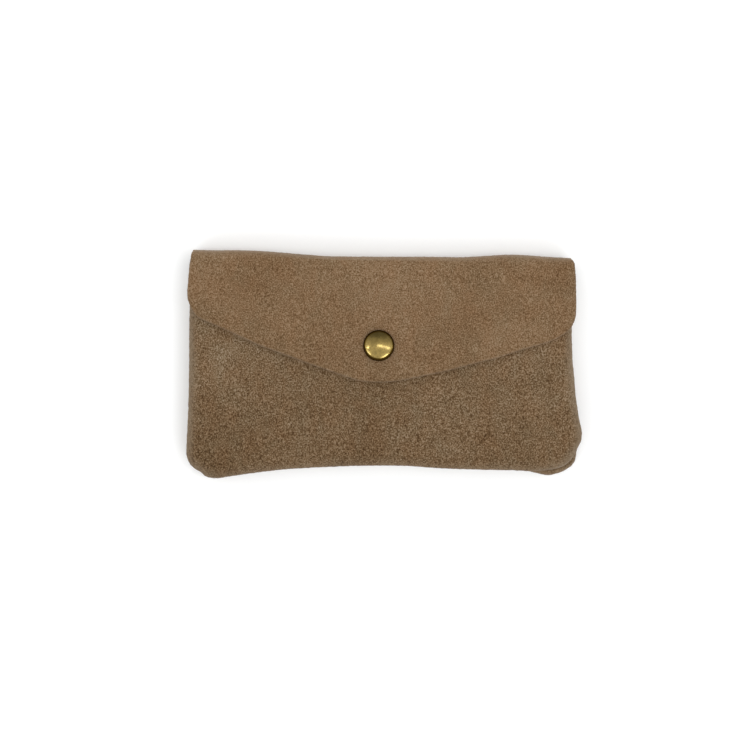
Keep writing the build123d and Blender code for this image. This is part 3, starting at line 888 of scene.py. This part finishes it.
class Nodes:
    """A short way to write a node tree. Sizes are in millimetres."""

    def __init__(self, tree):
        self.tree = tree

    def new(self, kind, **inputs):
        """A node whose inputs are given by name, with spaces written as underscores."""
        node = self.tree.nodes.new("ShaderNode" + kind)
        self.give(node, inputs)
        return node

    def give(self, node, inputs):
        for name, value in inputs.items():
            self.feed(node.inputs[name.replace("_", " ")], value)

    def join(self, source, target):
        self.tree.links.new(source, target)

    def feed(self, target, value):
        if isinstance(value, bpy.types.NodeSocket):
            self.join(value, target)
        elif hasattr(value, "__len__") and len(value) == 3 and target.type == "RGBA":
            target.default_value = (*value, 1.0)
        else:
            target.default_value = value

    def rest(self, scale=(1, 1, 1)):
        """Place at rest, in millimetres."""
        return self.new("Mapping", Vector=self.attribute("rest_mm", "Vector"), Scale=scale).outputs[0]

    def here(self, scale=(1, 1, 1)):
        """Place in the piece's own object, in millimetres."""
        where = self.new("TexCoord").outputs["Object"]
        return self.new("Mapping", Vector=where, Scale=[s / MM for s in scale]).outputs[0]

    def attribute(self, name, output="Fac"):
        node = self.new("Attribute")
        node.attribute_name = name
        return node.outputs[output]

    def noise(self, vector, size, detail=3.0, roughness=0.5, distortion=0.0):
        node = self.new(
            "TexNoise",
            Vector=vector,
            Scale=1 / size,
            Detail=detail,
            Roughness=roughness,
            Distortion=distortion,
        )
        return node.outputs["Fac"]

    def range(self, value, low, high, to_low=0.0, to_high=1.0):
        limits = {"From Min": low, "From Max": high, "To Min": to_low, "To Max": to_high}
        return self.new("MapRange", Value=value, **limits).outputs["Result"]

    def math(self, operation, a, b=0.0):
        node = self.new("Math")
        node.operation = operation
        self.feed(node.inputs[0], a)
        self.feed(node.inputs[1], b)
        return node.outputs[0]

    def mix(self, share, a, b, blend="MIX"):
        node = self.new("Mix")
        node.data_type = "RGBA"
        node.blend_type = blend
        self.give(node, {"Factor": share, "A": a, "B": b})
        return node.outputs["Result"]

    def bump(self, height, strength, distance_mm, after=None):
        node = self.new("Bump", Strength=strength, Distance=distance_mm * MM, Height=height)
        if after is not None:
            self.join(after, node.inputs["Normal"])
        return node.outputs[0]


class Material(Nodes):
    """A material of one surface shader."""

    def __init__(self, name):
        self.material = bpy.data.materials.new(name)
        self.material.use_nodes = True
        super().__init__(self.material.node_tree)
        self.tree.nodes.clear()
        self.surface = self.new("BsdfPrincipled")
        self.new("OutputMaterial", Surface=self.surface.outputs[0])

    def set(self, **inputs):
        self.give(self.surface, inputs)


def suede(name, tone, grey, worn, nap_size, contrast, bump_mm, drift):
    """Brushed suede: patches of nap that lie different ways, fine fibres, paler where rubbed and where
    sheen is painted, lighter or darker where light and shade are painted.
    """
    n = Material(name)
    where = n.rest()
    patches = n.noise(where, 30.0, 3.0, 0.55)
    brushed = n.noise(n.rest((1.0, 0.6, 1.0)), 9.0, 3.0, 0.6, 0.4)
    nap = n.noise(where, nap_size, 2.0, 0.6, 0.2)
    fibre = n.noise(n.rest((1.0, 0.8, 1.0)), nap_size * 0.38, 1.0, 0.5, 0.3)
    hue = n.mix(n.range(brushed, 0.32, 0.70, 0.0, 0.6), tone, grey)
    shade = n.math("ADD", n.math("MULTIPLY", nap, 0.22), n.math("MULTIPLY", fibre, 0.78))
    light = n.range(shade, 0.30, 0.70, 1.0 - 0.45 * contrast, 1.0 + 0.45 * contrast)
    light = n.math("ADD", light, n.range(patches, 0.3, 0.7, -drift, drift))
    # Painted light and painted shade: the stored values lighten or darken the suede here
    light = n.math("ADD", light, n.attribute("painted_light_and_tone"))
    # Light fibres are greyer than dark ones, so blue rises faster than red
    factor = n.new("CombineColor")
    for channel, power in zip(("Red", "Green", "Blue"), (1.80, 2.20, 2.88)):
        n.join(n.math("POWER", light, power), factor.inputs[channel])
    shaded = n.mix(1.0, hue, factor.outputs["Color"], "MULTIPLY")
    # Paler where rubbed, with painted sheen: the worn colour also stands in for the sheen that turned
    # edges and the fold catch
    paleness = n.math("MULTIPLY", n.attribute("wear_and_painted_light"), n.range(nap, 0.3, 0.7, 0.25, 0.75))
    coarse = n.bump(nap, 0.6, bump_mm)
    fine = n.bump(fibre, 0.7, bump_mm * 0.6, coarse)
    n.set(Base_Color=n.mix(paleness, shaded, worn), Roughness=0.95, Normal=fine)
    n.set(Specular_IOR_Level=0.10, Sheen_Weight=0.12, Sheen_Roughness=0.5)
    n.set(Sheen_Tint=(0.85, 0.78, 0.68))
    return n.material


def grain_leather(name, colour, dark):
    """The smooth side of the hide: fine pebbled grain with pores and a dull shine."""
    n = Material(name)
    where = n.rest()
    patches = n.noise(where, 26.0, 4.0, 0.6)
    pores = n.noise(where, 0.45, 2.0, 0.5)
    pebble_size = 1.1
    cells = n.new("TexVoronoi", Vector=where, Scale=1 / pebble_size)
    cells.feature = "DISTANCE_TO_EDGE"
    pebble = n.range(cells.outputs["Distance"], 0.0, 0.25)
    tone = n.mix(n.range(patches, 0.35, 0.65, 0.0, 0.6), colour, dark)
    tone = n.mix(n.range(pebble, 0.0, 0.6, 0.6, 0.0), tone, dark)
    tone = n.mix(n.range(pores, 0.55, 0.75, 0.0, 0.6), tone, dark)
    height = n.math("ADD", pebble, n.math("MULTIPLY", pores, 0.4))
    shine = n.range(patches, 0.3, 0.7, 0.50, 0.64)
    n.set(Base_Color=tone, Roughness=shine, Normal=n.bump(height, 0.7, 0.12))
    n.set(Specular_IOR_Level=0.3)
    return n.material


def cap_metal():
    """Antique brass: bright where it is handled, with dark film in soft patches, and a rolled rim painted
    dark with shade and dark reflections as well as film.
    """
    n = Material("antique_brass")
    where = n.rest()
    film = n.noise(where, 2.2, 3.0, 0.55, 0.3)
    specks = n.noise(where, 0.6, 2.0, 0.5)
    brushed = n.noise(n.rest((0.2, 1.0, 1.0)), 0.35, 2.0, 0.5)
    metal = n.mix(n.range(film, 0.40, 0.66, 0.0, 0.7), (0.290, 0.198, 0.044), (0.160, 0.106, 0.014))
    metal = n.mix(n.range(specks, 0.50, 0.70, 0.0, 0.45), metal, (0.120, 0.082, 0.012))
    # Painted shade and dark reflection: the stored rim values darken the colour, the edge tint and the
    # coat in the rolled rim
    rim = n.attribute("wear_and_painted_light")
    colour = n.mix(rim, metal, (0.024, 0.012, 0.002))
    shine = n.math("ADD", n.range(film, 0.35, 0.7, 0.13, 0.23), n.math("MULTIPLY", rim, 0.15))
    n.set(Base_Color=colour, Metallic=1.0, Roughness=shine, Normal=n.bump(brushed, 0.12, 0.02))
    n.set(Specular_Tint=n.mix(rim, (1.0, 1.0, 1.0), (0.45, 0.36, 0.16)))
    n.set(Coat_Weight=n.range(rim, 0.0, 0.6, 0.5, 0.0), Coat_Roughness=0.14, Coat_IOR=1.65)
    return n.material


def brass(name, bright, tarnish, roughness, spots=2.2):
    """Antiqued brass: dark film in patches, rubbed to metal elsewhere, fine scratches."""
    n = Material(name)
    film = n.noise(n.here(), spots, 5.0, 0.6, 0.5)
    scratch = n.noise(n.here((1.0, 0.08, 1.0)), 0.12, 2.0, 0.5)
    colour = n.mix(n.range(film, 0.40, 0.70, 0.0, 0.75), bright, tarnish)
    shine = n.range(film, 0.35, 0.7, roughness, roughness + 0.16)
    shine = n.math("ADD", shine, n.math("MULTIPLY", scratch, 0.05))
    n.set(Base_Color=colour, Metallic=1.0, Roughness=shine, Normal=n.bump(scratch, 0.12, 0.02))
    return n.material


def woven_tape(name, colour, dark):
    """Zip tape: narrow herringbone ribs across the length."""
    n = Material(name)
    rib = n.new("TexWave", Vector=n.rest(), Scale=0.40, Distortion=0.6)
    rib.bands_direction = "X"
    weft = n.noise(n.rest(), 0.35, 2.0, 0.5)
    height = n.math("ADD", rib.outputs["Fac"], n.math("MULTIPLY", weft, 0.5))
    shade = n.mix(n.range(height, 0.2, 1.3), dark, colour)
    n.set(Base_Color=shade, Roughness=0.85, Normal=n.bump(height, 0.6, 0.12))
    return n.material


def thread(name, colour):
    n = Material(name)
    twist = n.new("TexWave", Vector=n.here(), Scale=1.2)
    twist.bands_direction = "DIAGONAL"
    dark = [c * 0.6 for c in colour]
    strand = twist.outputs["Fac"]
    n.set(Base_Color=n.mix(strand, dark, colour), Roughness=0.6, Normal=n.bump(strand, 0.5, 0.08))
    return n.material


def pale_floor():
    n = Material("pale_floor")
    fine = n.noise(n.here(), 60.0, 2.0, 0.5)
    n.set(Base_Color=n.mix(fine, (0.90, 0.90, 0.895), (0.92, 0.92, 0.915)), Roughness=0.9)
    n.set(Specular_IOR_Level=0.1)
    return n.material


BODY_TONE = (0.1115, 0.0638, 0.0297)
BODY_GREY = (0.1148, 0.0790, 0.0428)
FLAP_TONE = (0.1450, 0.0831, 0.0405)
FLAP_GREY = (0.1440, 0.0965, 0.0526)
WORN_AND_SHEEN = (0.176, 0.134, 0.090)

front_suede = suede("suede_front", BODY_TONE, BODY_GREY, WORN_AND_SHEEN, 1.5, 1.08, 0.18, 0.085)
flap_suede = suede("suede_flap", FLAP_TONE, FLAP_GREY, WORN_AND_SHEEN, 1.4, 0.74, 0.16, 0.065)
back_suede = suede("suede_back", BODY_TONE, BODY_GREY, WORN_AND_SHEEN, 1.45, 0.97, 0.18, 0.085)
inner_side = grain_leather("hide_grain_side", (0.120, 0.072, 0.040), (0.070, 0.042, 0.024))
divider_side = grain_leather("divider_leather", (0.135, 0.080, 0.044), (0.080, 0.048, 0.027))
cap_brass = cap_metal()
snap_brass = brass("snap_brass", (0.46, 0.35, 0.15), (0.20, 0.145, 0.055), 0.26)
zip_brass = brass("zip_brass", (0.56, 0.43, 0.21), (0.28, 0.20, 0.085), 0.28, 3.5)
steel = brass("spring_wire", (0.62, 0.61, 0.58), (0.36, 0.35, 0.33), 0.25)
tape_weave = woven_tape("zip_tape", (0.085, 0.052, 0.030), (0.030, 0.018, 0.011))
sewing_thread = thread("thread", (0.20, 0.125, 0.070))


# ---------------------------------------------------------------- putting it together


def present(obj, materials, nodes, body=None):
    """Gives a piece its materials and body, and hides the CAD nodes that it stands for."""
    for material in materials:
        obj.data.materials.append(material)
    if body:
        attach(obj, body)
    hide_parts(*nodes)


front_pouch = build_front_pouch()
present(front_pouch, (front_suede, inner_side), ["front_panel"], "purse")

back_leather = build_back_leather()
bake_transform(back_leather)
present(back_leather, (back_suede, inner_side), ["back_panel", "flap_spine"])

flap_leather = build_flap_leather()
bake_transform(flap_leather)
present(flap_leather, (flap_suede, inner_side), ["flap_panel"])

front_seam_z, front_top_z = front_divider_low[2] + DIVIDER, front_divider_high[2]
front_wall = build_divider("coin_front_wall", front_loop, front_seam_z, front_top_z)
rear_wall = build_divider("coin_rear_wall", rear_loop, rear_divider_high[2], rear_divider_high[2])
for wall, node in ((front_wall, "front_divider"), (rear_wall, "rear_divider")):
    present(wall, (divider_side, divider_side), [node], "purse")

front_seam_thread = build_seam("front_seam_thread", front_loop, front_seam_z + THREAD)
rear_seam_thread = build_seam("rear_seam_thread", rear_loop, rear_divider_low[2] - THREAD)
for seam, node in ((front_seam_thread, "seam_front"), (rear_seam_thread, "seam_rear")):
    present(seam, [sewing_thread], [node], "purse")

present(build_cap(), [cap_brass], ["snap_cap"], "flap")
present(build_backing(), [divider_side], ["snap_backing"], "purse")

for side, row in ((1, "front"), (-1, "rear")):
    tape = build_tape(f"coin_zip_tape_{row}", f"zip_tape_{row}", side)
    present(tape, [tape_weave], [f"zip_tape_{row}"], "purse")
    stitches = build_zip_stitches(f"coin_zip_thread_{row}", f"zip_tape_{row}", side)
    present(stitches, [sewing_thread], [f"zip_stitch_{row}"], "purse")

# Metal pieces whose shape is right keep their CAD mesh, with worn edges
CAD_FINISH = {
    "snap_cap_post": snap_brass,
    "snap_socket": snap_brass,
    "snap_stud": snap_brass,
    "snap_stud_post": snap_brass,
    "snap_spring": steel,
    "zip_teeth_front": zip_brass,
    "zip_teeth_rear": zip_brass,
    "zip_top_stops": zip_brass,
    "zip_bottom_stop": zip_brass,
    "zip_slider": zip_brass,
    "zip_pull": zip_brass,
}
for node, material in CAD_FINISH.items():
    obj = frame["nodes"][node]
    obj.data.materials.clear()
    obj.data.materials.append(material)
    joined = obj.modifiers.new("joined", "WELD")
    joined.merge_threshold = 0.001 * MM
    worn = obj.modifiers.new("worn_edges", "BEVEL")
    worn.width = 0.12 * MM
    worn.segments = 2
    worn.limit_method = "ANGLE"
    worn.angle_limit = math.radians(38)


# ---------------------------------------------------------------- floor, light and camera


def build_floor():
    bm = bmesh.new()
    bmesh.ops.create_grid(bm, x_segments=24, y_segments=24, size=3.0)
    mesh = bpy.data.meshes.new("floor")
    bm.to_mesh(mesh)
    bm.free()
    floor = bpy.data.objects.new("floor", mesh)
    floor.location.z = -0.0002
    bpy.context.scene.collection.objects.link(floor)
    mesh.materials.append(pale_floor())


def area_light(name, place, target, size, power, colour=(1, 1, 1), mirrored=True):
    """A softbox. Metal doesn't mirror one that is too big and too near to look like a studio's."""
    data = bpy.data.lights.new(name, "AREA")
    data.shape = "RECTANGLE"
    data.size, data.size_y = size
    data.energy = power
    data.color = colour
    light = bpy.data.objects.new(name, data)
    light.location = place
    direction = Vector(target) - Vector(place)
    light.rotation_mode = "QUATERNION"
    light.rotation_quaternion = direction.to_track_quat("-Z", "Y")
    light.visible_glossy = mirrored
    bpy.context.scene.collection.objects.link(light)


def build_world(strength, dim):
    """An even pale room with one dim patch high up behind the wallet's top edge."""
    world = bpy.data.worlds.new("studio")
    world.use_nodes = True
    background = world.node_tree.nodes["Background"]
    n = Nodes(world.node_tree)
    parts = n.new("SeparateXYZ", Vector=n.new("TexCoord").outputs["Generated"])
    behind = n.range(parts.outputs["Y"], 0.06, 0.58)
    patch = n.math("MULTIPLY", behind, n.range(parts.outputs["Z"], 0.45, 0.62))
    background.inputs["Color"].default_value = (1.0, 1.0, 1.0, 1.0)
    n.join(n.range(patch, 0.0, 1.0, strength, dim), background.inputs["Strength"])
    bpy.context.scene.world = world


def build_camera():
    """Straight above the front, far enough away to keep the outline true."""
    view_width = 0.3537
    data = bpy.data.cameras.new("camera")
    data.lens = 150.0
    data.sensor_width = 36.0
    data.clip_end = 10.0
    distance = view_width * data.lens / data.sensor_width
    camera = bpy.data.objects.new("camera", data)
    camera.location = (-0.0087, -0.0012, 0.014 + distance)
    bpy.context.scene.collection.objects.link(camera)
    bpy.context.scene.camera = camera


build_floor()
build_world(1.22, 0.26)
area_light("key", (0.62, 1.08, 1.03), (0, 0, 0), (0.95, 0.65), 3.4, mirrored=False)
area_light("behind", (-0.30, 1.40, 0.50), (0, 0, 0), (1.4, 0.5), 6.0, mirrored=False)
area_light("band", (0.36, -0.08, 1.18), (0, 0, 0), (0.15, 1.00), 2.3, (0.92, 0.96, 1.0))
area_light("glint", (-0.82, -0.12, 1.10), (0, 0, 0), (0.14, 0.16), 0.65, (0.90, 0.96, 1.0))
area_light("left_low", (-0.74, -0.54, 1.00), (0, 0, 0), (0.36, 0.11), 1.1, (0.90, 0.96, 1.0))
area_light("right_low", (0.47, -0.76, 1.00), (0, 0, 0), (0.62, 0.11), 1.8, (0.92, 0.96, 1.0))
build_camera()
bpy.context.scene.view_settings.view_transform = "Standard"
